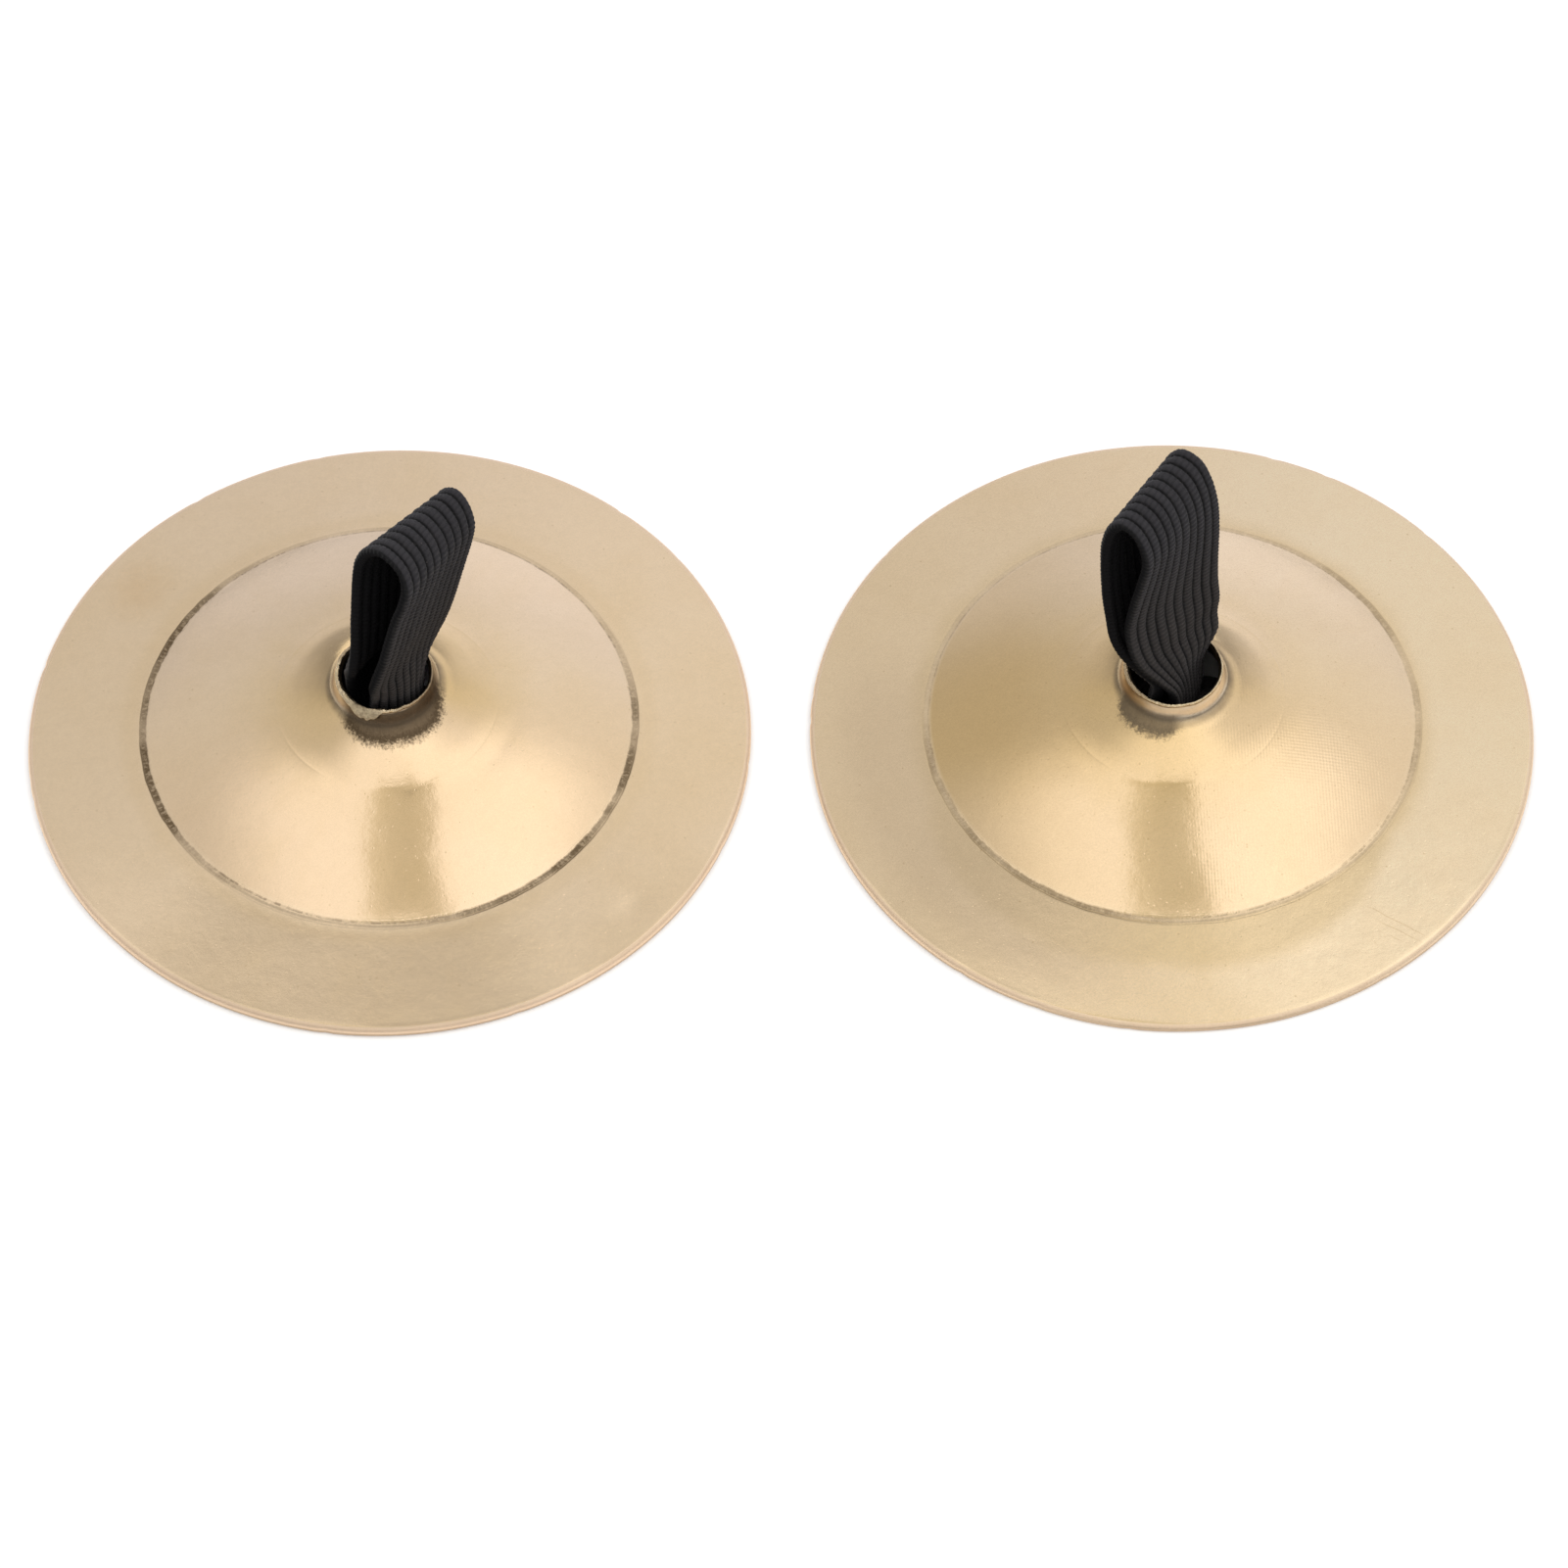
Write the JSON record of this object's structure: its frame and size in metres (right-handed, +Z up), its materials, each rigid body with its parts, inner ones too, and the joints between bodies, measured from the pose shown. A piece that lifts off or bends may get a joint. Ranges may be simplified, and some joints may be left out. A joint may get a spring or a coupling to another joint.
{
  "type": "finger cymbals",
  "caption": "Loose pair of finger cymbals: round pressed brass plates with a domed boss and drawn neck, each on a knotted loop of corded elastic.",
  "frame": {"origin": "on the plane that the rims rest on, midway between the two cymbals", "axes": "+X from the left cymbal's centre to the right one's, +Z up out of the domes, -Y towards the player"},
  "size_m": [0.131, 0.063, 0.0306],
  "materials": {
    "brass": "satin, slightly grained, a little tarnish at the neck",
    "elastic": "corded black elastic"
  },
  "bodies": {
    "left_plate": {"left_cymbal_plate": "brass"},
    "right_plate": {"right_cymbal_plate": "brass"},
    "left_tails": {"left_strap_tail_a": "elastic", "left_strap_tail_b": "elastic"},
    "left_knot": {"left_strap_knot": "elastic", "left_strap_legs": "elastic"},
    "left_loop": {"left_finger_loop": "elastic"},
    "right_tails": {"right_strap_tail_a": "elastic", "right_strap_tail_b": "elastic"},
    "right_knot": {"right_strap_knot": "elastic", "right_strap_legs": "elastic"},
    "right_loop": {"right_finger_loop": "elastic"}
  },
  "joints": [
    {"name": "right_lift", "type": "slide", "parent": "left_plate", "child": "right_plate", "axis": [0, 0, 1], "range_m": [0, 0.06]},
    {"name": "left_swivel", "type": "hinge", "parent": "left_plate", "child": "left_tails", "pos_m": [-0.03405, 0, 0.009], "axis": [0, 0, 1], "continuous": true},
    {"name": "left_pull", "type": "slide", "parent": "left_tails", "child": "left_knot", "axis": [0, 0, 1], "range_m": [0, 0.0027]},
    {"name": "left_lean", "type": "hinge", "parent": "left_knot", "child": "left_loop", "pos_m": [-0.03405, 0, 0.0104], "axis": [0.723, 0.6909, 0], "range_deg": [-55, 30], "stiffness_Nm_per_rad": 0.0004},
    {"name": "right_swivel", "type": "hinge", "parent": "right_plate", "child": "right_tails", "pos_m": [0.03405, 0, 0.009], "axis": [0, 0, 1], "continuous": true},
    {"name": "right_pull", "type": "slide", "parent": "right_tails", "child": "right_knot", "axis": [0, 0, 1], "range_m": [0, 0.0027]},
    {"name": "right_lean", "type": "hinge", "parent": "right_knot", "child": "right_loop", "pos_m": [0.03405, 0, 0.0104], "axis": [0.5635, 0.8261, 0], "range_deg": [-40, 45], "stiffness_Nm_per_rad": 0.0004}
  ]
}
